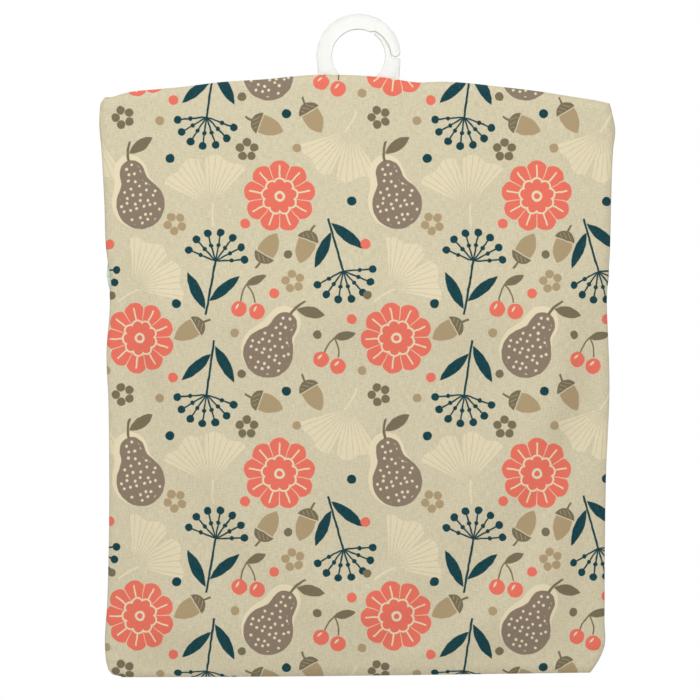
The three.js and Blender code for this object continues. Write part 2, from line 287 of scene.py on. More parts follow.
def arm_top(x):
    return TOP_Z - SHOULDER_DROP * abs(x / TOP_HALF) ** SHOULDER_BEND - ARM_SEAT


def arm_under(x):
    return arm_top(x) - mix(ARM_ROOT_DEPTH, ARM_END_DEPTH, float(ease(abs(x) / ARM_REACH)))


def tongue_face(angle):
    """Outer radius of the tongue, which tapers from its root to its free end."""
    return RING_R + mix(TONGUE_ROOT, TONGUE_TIP, (angle - ROOT_ANGLE) / (LAP_END - ROOT_ANGLE))


def softened(outline, radius, sharp=35, side_share=0.45, steps=4):
    """The outline again, with corners of more than sharp degrees cut by short curves. A curve starts at the
    radius from its corner, or at side_share of a shorter side."""
    points = np.array(outline)
    made = []
    for k, corner in enumerate(points):
        before = points[k - 1] - corner
        after = points[(k + 1) % len(points)] - corner
        sizes = np.linalg.norm(before), np.linalg.norm(after)
        turn = 180 - math.degrees(math.acos(np.clip(before @ after / (sizes[0] * sizes[1]), -1, 1)))
        if turn < sharp:
            made.append(tuple(corner))
            continue
        start = corner + before / sizes[0] * min(radius, sizes[0] * side_share)
        end = corner + after / sizes[1] * min(radius, sizes[1] * side_share)
        for t in np.linspace(0, 1, steps + 1):
            made.append(tuple((1 - t) ** 2 * start + 2 * t * (1 - t) * corner + t * t * end))
    return made


def points_of(mesh):
    return np.array([vertex.co for vertex in mesh.vertices])


def flat_moulding(name, outline, thick, rounding):
    """A closed mesh of a flat outline in the X-Z plane, of even thickness and with rounded edges."""
    curve = bpy.data.curves.new(name, "CURVE")
    curve.dimensions = "2D"
    curve.fill_mode = "BOTH"
    curve.extrude = thick / 2 - rounding
    curve.bevel_depth = rounding
    curve.bevel_resolution = 4
    curve.offset = -rounding
    spline = curve.splines.new("POLY")
    spline.points.add(len(outline) - 1)
    for point, (x, z) in zip(spline.points, outline):
        point.co = (x, z, 0, 1)
    spline.use_cyclic_u = True
    drawn = bpy.data.objects.new(name + "_outline", curve)
    mesh = bpy.data.meshes.new_from_object(drawn)
    bpy.data.objects.remove(drawn)
    points = points_of(mesh)
    upright = np.stack([points[:, 0], -points[:, 2], points[:, 1]], axis=1)
    piece = new_piece(name, upright, [list(face.vertices) for face in mesh.polygons])
    bpy.data.meshes.remove(mesh)
    weld = piece.modifiers.new("weld", "WELD")
    weld.merge_threshold = 0.02 * MM
    apply_modifiers(piece)
    return piece


def apply_modifiers(piece):
    """Turns what the modifiers make of a piece into its own mesh."""
    view = bpy.context.evaluated_depsgraph_get()
    made = bpy.data.meshes.new_from_object(piece.evaluated_get(view))
    piece.modifiers.clear()
    old = piece.data
    piece.data = made
    bpy.data.meshes.remove(old)


def cut_away(piece, cutter):
    cut = piece.modifiers.new("cut", "BOOLEAN")
    cut.operation = "DIFFERENCE"
    cut.solver = "EXACT"
    cut.object = cutter
    apply_modifiers(piece)
    bpy.data.objects.remove(cutter)


def surface(tree, shader, colour, roughness, rise, strength, depth):
    """Feeds a shader its colour, its roughness and bumps that follow the rise."""
    tree.feed(shader, "Base Color", colour)
    tree.feed(shader, "Roughness", roughness)
    bumps = {"Strength": strength, "Distance": depth * MM, "Height": rise}
    tree.feed(shader, "Normal", tree.node("Bump", sockets=bumps, output="Normal"))


arm_straight = ARM_REACH - ARM_END_DEPTH / 2
arm_stations = np.linspace(JUNCTION_HALF, arm_straight, ARM_TOP_POINTS)
right_top = [(x, arm_top(x)) for x in arm_stations]
left_top = [(-x, z) for x, z in right_top]
under_stations = np.linspace(-arm_straight, arm_straight, ARM_UNDER_POINTS)
under = [(x, arm_under(x)) for x in under_stations]
tip_inside = tongue_face(TIP_ANGLE) + TONGUE_GAP
lap_stop = LAP_END + math.degrees(TONGUE_SWING_GAP / RING_R)
hanger_outline = [
    *round_ring(RING_OUT, TIP_ANGLE, 180 + JUNCTION_ANGLE),
    *left_top,
    *half_round(left_top[-1], under[0]),
    *under,
    *half_round(under[-1], right_top[-1]),
    *right_top[::-1],
    on_ring(RING_OUT, ROOT_ANGLE),
    *round_ring(tongue_face, ROOT_ANGLE, LAP_END),
    *half_round(on_ring(tongue_face(LAP_END), LAP_END), on_ring(RING_R, LAP_END)),
    *round_ring(RING_R, LAP_END, lap_stop + STEP_SLOPE - 360),
    *round_ring(lambda angle: tongue_face(angle) + TONGUE_GAP, lap_stop, TIP_ANGLE),
    *half_round(on_ring(tip_inside, TIP_ANGLE), on_ring(RING_OUT, TIP_ANGLE)),
]
hanger_outline = softened(hanger_outline, HANGER_CORNER)
hanger = flat_moulding("hanger_moulding", hanger_outline, HANGER_THICK, HANGER_ROUND)

recess_stations = np.linspace(RECESS_START, RECESS_END, RECESS_POINTS)
for hand in (-1, 1):
    recess = [(hand * x, arm_top(x) - RECESS_RIM) for x in recess_stations]
    recess += [(hand * x, arm_under(x) + RECESS_RIM) for x in recess_stations[::-1]]
    for face in (-1, 1):
        cutter = flat_moulding("recess", softened(recess, RECESS_CORNER), HANGER_THICK, RECESS_ROUND)
        cutter.location.y = face * (RECESS_WEB + HANGER_THICK) / 2 * MM
        bpy.context.view_layer.update()
        cut_away(hanger, cutter)

clear_plastic, plastic, plastic_shader = new_material(
    "frosted_clear_plastic", IOR=1.45, Transmission_Weight=0.2, Specular_IOR_Level=0.25)
at_plastic = plastic.node("TexCoord", output="Object")
cloudy = at_plastic.noise(scale=90.0, detail=2.0)
frosty = at_plastic.noise(scale=1500.0, detail=1.0)
# Painted shade: the colour darkens where the rounded edges turn from the faces, and in a soft strip along
# the ring's outer edge.
faced = plastic.node("TexCoord", output="Normal").parts()[1]
from_middle = at_plastic.vector("MULTIPLY", (1, 0, 1)).vector("DISTANCE", (0, 0, RING_Z * MM))
rim = (1 - abs(from_middle - RING_OUT * MM) * (1 / RIM_SHADE_WIDTH / MM)).most(0)
edge = (1 - abs(faced)).most(rim * RIM_SHADE_SHARE)
milky = plastic.mix(cloudy, PLASTIC_SHADE, PLASTIC)
surface(plastic, plastic_shader, plastic.mix(edge, milky, PLASTIC_EDGE_SHADE), mix(*PLASTIC_ROUGHNESS, cloudy),
        frosty, strength=0.12, depth=0.2)

hanger.data.materials.append(clear_plastic)
hanger.data.shade_smooth()
flat_faces = hanger.modifiers.new("flat_faces", "WEIGHTED_NORMAL")
flat_faces.keep_sharp = False
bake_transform(hanger)
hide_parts("hanger_frame", "hook_tongue")


# The points of the moulding that lie on the tongue, and a share for each that grows over the stretch just
# above its root, where the tongue bends; its outer part swings as one. The shares are not kept, so nothing
# here bends the tongue.
hanger_points = points_of(hanger.data) / MM
ring_x = hanger_points[:, 0]
ring_z = hanger_points[:, 2] - RING_Z
ring_r = np.hypot(ring_x, ring_z)
ring_angle = np.degrees(np.arctan2(ring_z, ring_x))
on_tongue = (ring_angle > ROOT_ANGLE) & (ring_angle < LAP_END + TONGUE_END)
on_tongue &= ring_r < tongue_face(ring_angle) + TONGUE_GAP / 2
np.where(on_tongue, ease((ring_angle - ROOT_ANGLE) / BEND_ANGLE), 0)

# The bag's cloth is a plain-woven cotton with a slubby, linen-like thread, printed on one face in coral,
# dark teal, taupe, olive, tan and cream on sage beige. The motifs are fruit, flowers and seed heads,
# scattered over a repeat that runs on across the whole cloth. The print shows faintly on the reverse.
REPEAT = (150, 162)
INK_EDGE = 0.35  # width over which the ink fades out at the edge of a motif
WOBBLE = 0.7  # how far the hand-drawn edges stray
THREAD_PITCH = 0.55
GROUND = paint(197, 187, 155)
GROUND_SLUB = paint(227, 217, 189)
CORAL = paint(235, 116, 97)
TEAL = paint(0, 62, 70)
TAUPE = paint(139, 123, 106)
OLIVE = paint(121, 111, 87)
TAN = paint(176, 154, 118)
CREAM = paint(233, 220, 186)
REVERSE_INK = 0.16  # how strongly the print shows on the reverse
STREAKS = ((0.3, 1.8, 1.0), (1.8, 0.22, 1.0))  # how the thick weft and warp threads are drawn out
SLUB_RISE = 1.5  # of a thick thread, beside the rise of the weave
RUB_START = 0.3  # the thickness from which a thread loses ink
RUB = 0.05
COTTON_ROUGHNESS = (0.95, 0.8)


def motif_spots(cloth, places):
    """The cloth's coordinates seen from the nearest of a motif's places, each (across, up, degrees)."""
    half = (REPEAT[0] / 2, REPEAT[1] / 2, 1)
    nearest = None
    for across, up, turn in places:
        moved = cloth.vector("SUBTRACT", (across, up, 0))
        spot = moved.vector("WRAP", half, tuple(-h for h in half))
        if turn:
            angle = {"Vector": spot, "Angle": math.radians(-turn)}
            spot = spot.node("VectorRotate", {"rotation_type": "Z_AXIS"}, angle)
        away = spot.vector("LENGTH")
        if nearest is None:
            nearest, least = spot, away
            continue
        nearest = spot.mix(away < least, nearest, spot, "VECTOR")
        least = least.least(away)
    return nearest


def disc(spot, across, up, radius):
    """Distance outside a disc, less than 0 within it. So are the other shapes below."""
    return spot.vector("DISTANCE", (across, up, 0)) - radius


def leaf(spot, across, up, degrees, length, width):
    """A pointed leaf about its middle, as the space that two wide discs share."""
    radius = (length ** 2 + width ** 2) / (4 * width)
    offset = radius - width / 2
    side = (-math.sin(math.radians(degrees)) * offset, math.cos(math.radians(degrees)) * offset)
    first = disc(spot, across + side[0], up + side[1], radius)
    return first.most(disc(spot, across - side[0], up - side[1], radius))


def box(spot, across, up, half_width, half_height):
    """An upright rectangle about its middle."""
    x, y = spot.parts()
    return (abs(x - across) - half_width).most(abs(y - up) - half_height)


def stalk(spot, across, low, high, bend, width):
    """An upright line that curves to one side as it goes up."""
    x, y = spot.parts()
    rise = y - low
    line = abs(x - rise * rise * bend - across) - width / 2
    return line.most(abs(y - (low + high) / 2) - (high - low) / 2)


def fold_round(spot, across, up, count):
    """Coordinates of one of several like petals or rays round a middle, and the angle from straight up."""
    x, y = spot.vector("SUBTRACT", (across, up, 0)).parts()
    away = spot.vector("DISTANCE", (across, up, 0))
    angle = x.math("ARCTAN2", y)
    share = math.pi / count
    folded = angle.math("WRAP", share, -share)
    sideways = away * folded.math("SINE")
    outwards = away * folded.math("COSINE")
    petal = spot.node("CombineXYZ", sockets={0: sideways, 1: outwards})
    return petal, away, angle


def ink(distance):
    return distance.math("MULTIPLY_ADD", -1 / INK_EDGE, 0.5, clamp=True)


def print_fans(cloth, colour):
    """Pale fan-shaped leaves, low in contrast, with a wavy edge and fine veins."""
    spot = motif_spots(cloth, [(29, 79, -50), (61, 132, 10), (140, 149, 160)])
    length = 29
    half_spread = 0.95  # radians
    lobes = 11
    lobe_depth = 1.3
    notch_start = 15  # from the fan's root
    notch_widening = 0.16
    vein_width = 0.35
    vein_sharpness = 0.05
    strength = 0.8
    _, away, angle = fold_round(spot, 0, -14, 1)
    edge = away - length + (angle * lobes).math("COSINE") * lobe_depth
    notch = (away - notch_start) * notch_widening - abs(angle) * away
    fan = edge.most((abs(angle) - half_spread) * away).most(notch)
    fan = fan.most(vein_width - abs((angle * (2 * lobes)).math("SINE")) * away * vein_sharpness)
    fan = fan.least(stalk(spot, 0, -26, -12, 0.012, 1.2))
    return cloth.mix(ink(fan) * strength, colour, CREAM)


def print_pears(cloth, colour):
    """Taupe pears with cream flecks, each with a cream edge on its upper left side."""
    spot = motif_spots(cloth, [(20, 128, 16), (102, 40, -30)])
    waist_blend = 13
    light_width = 1.4
    light_lean = 0.09  # so that the light edge is wider on the upper left
    fleck_space = 4  # from fleck to fleck, about
    fleck_radius = 0.2  # as a share of that space
    fleck_inset = 2  # from the edge of the pear
    x, y = spot.parts()
    body = disc(spot, 0, -9, 14.5).math("SMOOTH_MIN", disc(spot, 0, 10.5, 7), waist_blend)
    light_edge = body - light_width + (x - y) * light_lean
    fleck_sockets = {"Vector": spot, "Scale": 0.24, "Randomness": 0.55}
    fleck_away = spot.node("TexVoronoi", {"voronoi_dimensions": "2D"}, fleck_sockets, "Distance")
    flecks = (fleck_away - fleck_radius) * fleck_space
    colour = cloth.mix(ink(light_edge), colour, CREAM)
    colour = cloth.mix(ink(body), colour, TAUPE)
    colour = cloth.mix(ink(flecks.most(body + fleck_inset)), colour, CREAM)
    twig = stalk(spot, 0, 17, 28, 0.03, 1.6).least(leaf(spot, 9.5, 24, 18, 17, 6.5))
    return cloth.mix(ink(twig), colour, OLIVE)


def petal_ring(petal, away, out, radius, filled):
    """A ring of round petals whose middles lie a distance out, filled in up to another."""
    return disc(petal, 0, out, radius).least(away - filled)


def print_blooms(cloth, colour):
    """Coral blooms with two rings of petals, drawn with cream veins."""
    spot = motif_spots(cloth, [(104, 124, 0), (22, 41, 12)])
    petals = 9
    petal_out = 14.5
    line_half_width = 0.5
    gap_slope = 0.33  # of the line from the bloom's middle beyond which a gap lies
    gap_out = 14
    gap_half_length = 4.5
    eye_radius = 2.4
    eye_half_width = 0.7
    petal, away, _ = fold_round(spot, 0, 0, petals)
    across, _ = petal.parts()
    colour = cloth.mix(ink(petal_ring(petal, away, petal_out, 6.4, 13)), colour, CORAL)
    vein = box(petal, 0, petal_out, 0.45, 3.6)
    inner_edge = abs(petal_ring(petal, away, 7.2, 3.3, 6.6)) - line_half_width
    gaps = (away * gap_slope - abs(across)).most(abs(away - gap_out) - gap_half_length)
    eye = abs(away - eye_radius) - eye_half_width
    drawn = vein.least(inner_edge).least(gaps).least(eye)
    return cloth.mix(ink(drawn), colour, CREAM)


def print_seed_heads(cloth, colour):
    """Dark teal seed heads: rays that end in round seeds, on a stalk with narrow leaves."""
    spot = motif_spots(cloth, [(66, 82, -10), (62, 12, 172), (140, 84, 196)])
    rays = 14  # in a whole round, of which the upper half is drawn
    ray_half_width = 0.5
    ray_length = 16
    quarter_turn = 1.57
    mid_radius = 8  # that turns an angle into a length
    petal, away, angle = fold_round(spot, 0, 4, rays)
    across, _ = petal.parts()
    ray = (abs(across) - ray_half_width).most(away - ray_length)
    seed = disc(petal, 0, 17, 2.3)
    inner_seed = disc(petal, 0, 9.5, 1.3)
    head = ray.least(seed).least(inner_seed).most((abs(angle) - quarter_turn) * mid_radius)
    leaves = leaf(spot, 8, -11, 50, 23, 6.2).least(leaf(spot, -8, -15, 126, 24, 6.4))
    stem = stalk(spot, 0, -28, 5, 0.0, 1.3)
    return cloth.mix(ink(head.least(leaves).least(stem)), colour, TEAL)


def print_cherries(cloth, colour):
    """Pairs of coral cherries on bent olive stalks, with one leaf."""
    spot = motif_spots(cloth, [(135, 33, -14), (86, 64, 0)])
    fruit = disc(spot, -5.5, -6, 4.6).least(disc(spot, 5, -7.5, 4.6))
    glint = leaf(spot, -6.6, -4.6, 60, 4, 1.2).least(leaf(spot, 3.9, -6.1, 60, 4, 1.2))
    half_width = 0.45
    rounds = abs(disc(spot, 15, -3, 19.5)).least(abs(disc(spot, -13, -4, 17)))
    stalks = (rounds - half_width).most(box(spot, 0, 2.9, 6, 5.4))
    green = stalks.least(leaf(spot, 4.4, 10.7, 25, 13, 5))
    colour = cloth.mix(ink(green), colour, OLIVE)
    colour = cloth.mix(ink(fruit), colour, CORAL)
    return cloth.mix(ink(glint), colour, CREAM)


def print_acorns(cloth, colour):
    """Tan acorns in hatched olive cups."""
    spot = motif_spots(cloth, [(96, 91, 150), (94, 4, 70), (122, 10, 30), (54, 47, -60), (120, 97, -20)])
    nut_top = 1
    cup_rim = 1.6
    hatch_width = 0.25
    hatch_inset = 1
    x, y = spot.parts()
    nut = leaf(spot, 0, -2, 90, 22, 11).most(y - nut_top)
    cup = disc(spot, 0, 0.5, 6.4).most(cup_rim - y).least(stalk(spot, 0, 6, 11, 0.03, 1.3))
    hatch = abs((x + y).math("SINE")) - hatch_width
    colour = cloth.mix(ink(nut), colour, TAN)
    colour = cloth.mix(ink(cup), colour, OLIVE)
    return cloth.mix(ink(hatch.most(cup + hatch_inset)), colour, TAN)


def print_stars(cloth, colour):
    """Small five-petalled flowers in olive and in tan."""
    petals = 5
    hole_radius = 1.5
    for tint, places in ((OLIVE, [(85, 151, 0), (12, 8, 20)]),
                         (TAN, [(112, 74, 10), (43, 108, 30)])):
        spot = motif_spots(cloth, places)
        petal, away, _ = fold_round(spot, 0, 0, petals)
        flower = disc(petal, 0, 4.4, 2.5).most(hole_radius - away)
        colour = cloth.mix(ink(flower), colour, tint)
    return colour


def print_dots(cloth, colour):
    """Round dots in four colours, each of its own size."""
    for tint, radius, places in ((CORAL, 2.9, [(84, 108), (42, 18), (4, 96), (101, 67), (146, 52)]),
                                 (TEAL, 2.7, [(108, 10), (146, 121), (44, 61), (40, 146)]),
                                 (OLIVE, 2.5, [(82, 20), (109, 90), (5, 66), (126, 43)]),
                                 (TAN, 2.6, [(114, 152), (78, 44), (2, 22), (34, 6)])):
        spot = motif_spots(cloth, [(*place, 0) for place in places])
        colour = cloth.mix(ink(disc(spot, 0, 0, radius)), colour, tint)
    return colour


def cotton(name, print_strength):
    """Cotton cloth, with the print as strong as it shows on that face."""
    material, cloth_tree, shader = new_material(
        name, Sheen_Weight=0.03, Sheen_Roughness=0.5, Specular_IOR_Level=0.15)
    flat = cloth_tree.node("UVMap", {"uv_map": "cloth"})
    in_plane = {"noise_dimensions": "2D"}
    wander = flat.noise(scale=0.22, detail=1.0, settings=in_plane, output="Color")
    strayed = wander.vector("SUBTRACT", (0.5, 0.5, 0.5)).vector("MULTIPLY", (WOBBLE, WOBBLE, 0))
    drawn = flat.vector("ADD", strayed)
    weft, warp = [flat.vector("MULTIPLY", stretch).noise(scale=1.0, detail=3.0, settings=in_plane)
                  for stretch in STREAKS]
    slub = weft + warp - 0.5
    colour = flat.mix(slub, GROUND, GROUND_SLUB)
    for layer in (print_fans, print_pears, print_blooms, print_seed_heads,
                  print_cherries, print_acorns, print_stars, print_dots):
        colour = layer(drawn, colour)
    colour = flat.mix(print_strength, GROUND_SLUB, colour)
    worn = flat.mix((slub - RUB_START) * RUB, colour, GROUND_SLUB)
    x, y = flat.parts()
    turns = 2 * math.pi / THREAD_PITCH
    weave = (x * turns).math("SINE") * (y * turns).math("SINE") + slub * SLUB_RISE
    surface(flat, shader, worn, mix(*COTTON_ROUGHNESS, slub), weave, strength=0.35, depth=0.12)
    return material


printed_cotton = cotton("printed_cotton", 1.0)
cotton_reverse = cotton("cotton_reverse", REVERSE_INK)

# The back panel is one piece of the cloth, the height of the bag, hung from the hanger and sewn to the
# front all round. Every panel is left to settle as slack cloth with its seams held, which gives it its
# folds. The seams pucker a little, and the cloth turns over them in a soft round edge.
LEFT_SEAM = [(-377.3, -137.3), (-376.5, -141.2), (-374.7, -143.7), (-371.5, -145.3), (-367, -146.2),
             (-362, -146.6), (-333, -145.3), (-290, -144.3), (-245, -144.3), (-216, -144.7), (-190, -145.8),
             (-158, -143.8), (-153.5, -143.9), (-150, -143.2), (-145, -143.3), (-139, -144.4),
             (-134, -145.3), (-129, -145.9), (-100, -147.1), (-70, -148.8), (-54, -150),
             (-46.5, -149.6), (-43, -149), (-40, -147)]  # up, then across
RIGHT_SEAM = [(-376, 136.5), (-369, 141.2), (-361, 144.9), (-345, 145.2), (-304, 145.4), (-260, 146.1),
              (-205, 148.1), (-181, 147.4), (-160, 146.6), (-129, 148.4), (-100, 149.1), (-70, 150.3),
              (-58, 151.4), (-50, 149.9), (-43.6, 148.4)]
TOP_SEAM = [(-146, -40.1), (-141.5, -39.6), (-134, -37.4), (-114, -35), (-103, -34), (-79, -31),
            (-53, -29.3), (-27, -26.9), (-9, -26.8), (3, -27.3), (17, -28.5), (34, -31.1), (48, -30.7),
            (87, -34.2), (107, -36.7), (122, -39.1), (140, -42.1), (147, -43.7)]  # across, then up
FOOT_SEAM = [(-140, -377.8), (-60, -377.5), (0, -377), (140, -375.2)]
MEAN_HALF = 146  # half the bag's mean width
MEAN_HEIGHT = 346
CLOTH = 0.6
SEAM_GAP = 0.03  # between each layer's edge and the seam plane
SEAM_GROOVE = 0.45  # how far the seam draws in behind the rolled edge
GROOVE_REACH = 0.4
EDGE_DEPTH = 4.2  # half the bag's depth beside its seams
EDGE_ROUND = 5.5
BELLY_DEPTH = 13  # half its depth at the fullest place
BELLY_RISE = 0.75  # the lower it is, the sooner the bag swells above its foot
EDGE_THIN = 0.55  # share of its depth that the bag keeps at its sides and foot
THIN_REACH = 40
HOOK_GAP = 31  # half the length of the top edge that is left open for the hook
HOOK_GAP_END = 9
HOOK_OPEN = 2.9
MESH_STEP = 1.7  # between the points of a finished panel, about
HANG_OFF = -1.5  # the bag hangs a little to the left of its hook
PRINT_SHIFT = {-1: (0, 59), 1: (41, 123)}  # where the repeat starts on the back and on the front
BROAD_WAVE = 3.0  # of the slack cloth before it settles
BROAD_LENGTHS = ((23, 61), (-71, 47))  # across and up, in millimetres to a radian, of two that cross
SMALL_WAVE = 1.6
SMALL_LENGTHS = ((11, -37), (53, 29))
SLACK_FADE = 0.2  # share of the half size over which the waves fade out towards the seams
SETTLE_STEP = 6  # between the points of a settling sheet, about
SETTLE_FRAMES = 40
SETTLE_CAP = 7  # the most that a point may move
AIR = 0.04  # the slight push of the air inside
PUCKER = 0.22
ARM_ROOM = 2.9  # kept free for the hanger's arms
ARM_ROOM_START = 0.7  # share of the height from which that room is kept, in full from ARM_ROOM_FULL on
ARM_ROOM_FULL = 0.82
LAYER_ROOM = 1.2  # kept free below them
LIP_RIDGE = 5  # how far the bound lips behind the back panel push it out
LIP_RIDGE_Z = -162
LIP_RIDGE_REACH = 25


def smooth_through(knots):
    """The function whose curve passes smoothly through knots that are listed from low to high."""
    at, value = np.array(knots, float).T
    slope = np.gradient(value, at)

    def curve(t):
        k = np.clip(np.searchsorted(at, t) - 1, 0, len(at) - 2)
        span = at[k + 1] - at[k]
        s = np.clip((t - at[k]) / span, 0, 1)
        held = (1 - s) ** 2 * (1 + 2 * s) * value[k] + s ** 2 * (3 - 2 * s) * value[k + 1]
        return held + s * (1 - s) * span * ((1 - s) * slope[k] - s * slope[k + 1])

    return curve


left_seam = smooth_through(LEFT_SEAM)
right_seam = smooth_through(RIGHT_SEAM)
top_seam = smooth_through(TOP_SEAM)
foot_seam = smooth_through(FOOT_SEAM)


def ripple(s, shift, main=0.6, main_length=1.13, other_length=1.71, slow_length=17):
    """An uneven wave along a seam, about 7 mm from crest to crest, between -1 and 1. The lengths are in
    millimetres to a radian."""
    other = 1 - main
    slow = main + other * np.sin(s / slow_length + 2 * shift)
    return slow * (main * np.sin(s / main_length + shift) + other * np.sin(s / other_length + 3 * shift))


def crossing_waves(x, z, lengths, shifts):
    """The product of two slanting waves over the cloth."""
    first, second = [np.sin(x / across + z / up + shift) for (across, up), shift in zip(lengths, shifts)]
    return first * second


def turned(distance):
    """The round turn of the cloth beside a seam, from 0 at the seam to 1 once it lies flat."""
    return np.sqrt(1 - (1 - np.clip(distance / EDGE_ROUND, 0, 1)) ** 2)


def lofted(u, v):
    """Half the bag's depth before the cloth settles, at places across (u, -1 to 1) and up (v, 0 to 1)."""
    fullest = BELLY_RISE / (1 + BELLY_RISE)
    swell = (v / fullest) ** BELLY_RISE * (1 - v) / (1 - fullest)
    return mix(EDGE_DEPTH, BELLY_DEPTH, (1 - u * u) * swell)


def near(distance, middle=4, reach=5):
    """1 in the middle of the puckered strip beside a seam, and 0 away from it."""
    return np.exp(-((distance - middle) / reach) ** 2)


def sampled(grid, s, t):
    """The value of a grid at places from 0 to 1 along its two ways, curving smoothly between its points."""
    total = 0
    for weight_s, row in smooth_weights(s, grid.shape[0]):
        for weight_t, column in smooth_weights(t, grid.shape[1]):
            total = total + weight_s * weight_t * grid[row, column]
    return total


def smooth_weights(t, count):
    """The four grid points nearest to each place t, with their shares in a smooth curve through them."""
    scaled = np.clip(t, 0, 1) * (count - 1)
    k = np.minimum(scaled.astype(int), count - 2)
    f = scaled - k
    shares = {-1: -f * (1 - f) ** 2 / 2,
              0: 1 - f * f * (5 - 3 * f) / 2,
              1: f * (1 + f * (4 - 3 * f)) / 2,
              2: -f * f * (1 - f) / 2}
    return [(share, np.clip(k + step, 0, count - 1)) for step, share in shares.items()]


class Panel:
    """One layer of the bag, on its front (side 1) or its back (-1), between two edges given as v of u."""

    def __init__(self, side, low, high):
        self.side = side
        self.low = low
        self.high = high
        self.moved = self.settle()

    def settle(self):
        """How far out each point of an even grid moves when the panel settles with its edges held."""
        height = (self.high(0) - self.low(0)) * MEAN_HEIGHT
        shape = (round(2 * MEAN_HALF / SETTLE_STEP), round(height / SETTLE_STEP))
        u, share = np.meshgrid(np.linspace(-1, 1, shape[0]), np.linspace(0, 1, shape[1]), indexing="ij")
        v = mix(self.low(u), self.high(u), share)
        inward = np.minimum(1 - np.abs(u), 1 - np.abs(2 * share - 1))
        rest = lofted(u, v)
        x, z = u * MEAN_HALF, v * MEAN_HEIGHT
        broad = BROAD_WAVE * crossing_waves(x, z, BROAD_LENGTHS, (0, self.side))
        small = SMALL_WAVE * crossing_waves(x, z, SMALL_LENGTHS, (2, 0))
        slack = ease(inward / SLACK_FADE) * (broad + small)
        start = np.stack([x, self.side * (rest + slack), z], axis=-1)
        sheet = new_piece("settling", start.reshape(-1, 3), grid_faces(*shape, 0, self.side > 0))
        sheet.vertex_groups.new(name="held").add(np.flatnonzero(inward == 0).tolist(), 1.0, "REPLACE")
        cloth = sheet.modifiers.new("cloth", "CLOTH")
        cloth.settings.vertex_group_mass = "held"
        cloth.settings.quality = 8
        cloth.settings.mass = 0.15
        cloth.settings.tension_stiffness = 40
        cloth.settings.compression_stiffness = 40
        cloth.settings.shear_stiffness = 20
        cloth.settings.bending_stiffness = 5
        cloth.settings.use_pressure = True
        cloth.settings.uniform_pressure_force = AIR
        cloth.collision_settings.use_collision = False
        cloth.point_cache.frame_end = SETTLE_FRAMES
        for moment in range(1, SETTLE_FRAMES + 1):
            bpy.context.scene.frame_set(moment)
        apply_modifiers(sheet)
        settled = points_of(sheet.data) / MM
        bpy.data.objects.remove(sheet)
        bpy.context.scene.frame_set(1)
        moved = settled[:, 1].reshape(shape) * self.side - rest
        return SETTLE_CAP * np.tanh(moved / SETTLE_CAP)

    def depth(self, u, v, x, z):
        """How far the middle of the cloth stands out from the bag's middle plane."""
        share = (v - self.low(u)) / (self.high(u) - self.low(u))
        loose = lofted(u, np.clip(v, 0, 1)) + sampled(self.moved, (1 + u) / 2, share)
        from_side = (1 - np.abs(u)) * MEAN_HALF
        from_top = (1 - v) * MEAN_HEIGHT
        from_foot = v * MEAN_HEIGHT
        full = ease(np.minimum(from_side, from_foot) / THIN_REACH)
        at_shoulder = ease(1 - from_top / THIN_REACH)  # the hanger's arms keep the shoulders full
        loose = loose * mix(EDGE_THIN, 1, np.maximum(full, at_shoulder))
        high_up = ease((v - ARM_ROOM_START) / (ARM_ROOM_FULL - ARM_ROOM_START))
        room = mix(LAYER_ROOM, ARM_ROOM, high_up)
        loose = room + np.logaddexp(0, loose - room)  # never less than the room, with a soft change
        if self.side < 0:
            loose = loose + LIP_RIDGE * np.exp(-((z - LIP_RIDGE_Z) / LIP_RIDGE_REACH) ** 2) * (1 - u * u)
        gap_open = 1 - ease((np.abs(x) - HOOK_GAP) / HOOK_GAP_END)
        at_top = np.maximum(turned(from_top), gap_open * HOOK_OPEN / EDGE_DEPTH)
        within = turned(from_side) * at_top * turned(from_foot)
        pucker = near(from_side) * ripple(z, self.side)
        pucker = pucker + near(np.minimum(from_top, from_foot)) * ripple(x, self.side + 1)
        return SEAM_GAP + (loose + PUCKER * pucker) * within

    def place(self, u, v, out=0):
        """The point at a place on the panel, a distance out from the middle of its cloth."""
        across = u * MEAN_HALF
        z = mix(foot_seam(across), top_seam(across), v)
        x = mix(left_seam(z), right_seam(z), (1 + u) / 2) + HANG_OFF
        from_side = (1 - np.abs(u)) * MEAN_HALF
        x = x - np.sign(u) * SEAM_GROOVE * np.exp(-(from_side / GROOVE_REACH) ** 2)
        y = self.side * (self.depth(u, v, across, z) + out)
        return np.stack([x, y + 0 * x, z + 0 * x], axis=-1)


def both_ends_close(count, crowding=0.13):
    """Places from 0 to 1 that crowd towards both ends."""
    t = np.linspace(0, 1, count)
    return t - crowding * np.sin(2 * np.pi * t)


def low_end_close(count, even=0.25):
    """Places from 0 to 1 that crowd towards 0."""
    t = np.linspace(0, 1, count)
    return even * t + (1 - even) * t ** 2


def grid_normals(points):
    """Unit normals of a grid of points, by the right-hand rule from its first way to its second."""
    normal = np.cross(np.gradient(points, axis=0), np.gradient(points, axis=1))
    return normal / np.linalg.norm(normal, axis=-1, keepdims=True)


def grid_faces(rows, columns, start, flip):
    """The corners of a grid's faces, for points that are listed row by row."""
    k = (np.arange(rows - 1)[:, None] * columns + np.arange(columns - 1)).ravel() + start
    faces = np.stack([k, k + columns, k + columns + 1, k + 1], axis=1)
    return faces[:, ::-1] if flip else faces


def extra_length(along, out):
    """How much longer the cloth is than it looks from the front, from a line's middle to each point."""
    step = np.diff(along)
    run = np.append(0, np.cumsum(np.hypot(step, np.diff(out)) - np.abs(step)))
    return run - run[len(run) // 2]


